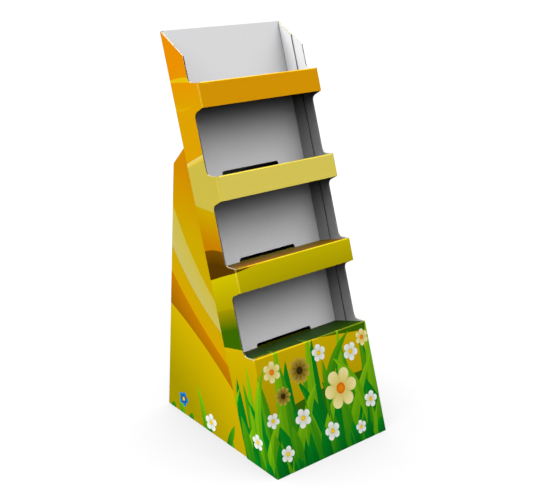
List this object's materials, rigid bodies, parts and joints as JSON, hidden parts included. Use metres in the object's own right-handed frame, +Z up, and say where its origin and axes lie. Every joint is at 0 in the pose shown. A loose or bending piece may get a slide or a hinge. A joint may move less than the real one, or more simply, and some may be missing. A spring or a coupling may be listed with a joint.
{
  "type": "cardboard display stand",
  "caption": "Leaning corrugated-board floor display with open shelves, cut-out sides, a slotted back liner and a triangular rear support.",
  "frame": {"origin": "on the floor, at the middle of the stand's footprint", "axes": "+X to the right seen from the front, +Y from the front to the rear support, +Z up"},
  "size_m": [0.5, 0.6552, 1.3796],
  "materials": {
    "printed_board": "satin print",
    "plain_white_board": "matt"
  },
  "bodies": {
    "root": {"printed_shell": "printed_board", "back_liner": "plain_white_board", "rear_support": "printed_board"}
  },
  "joints": []
}
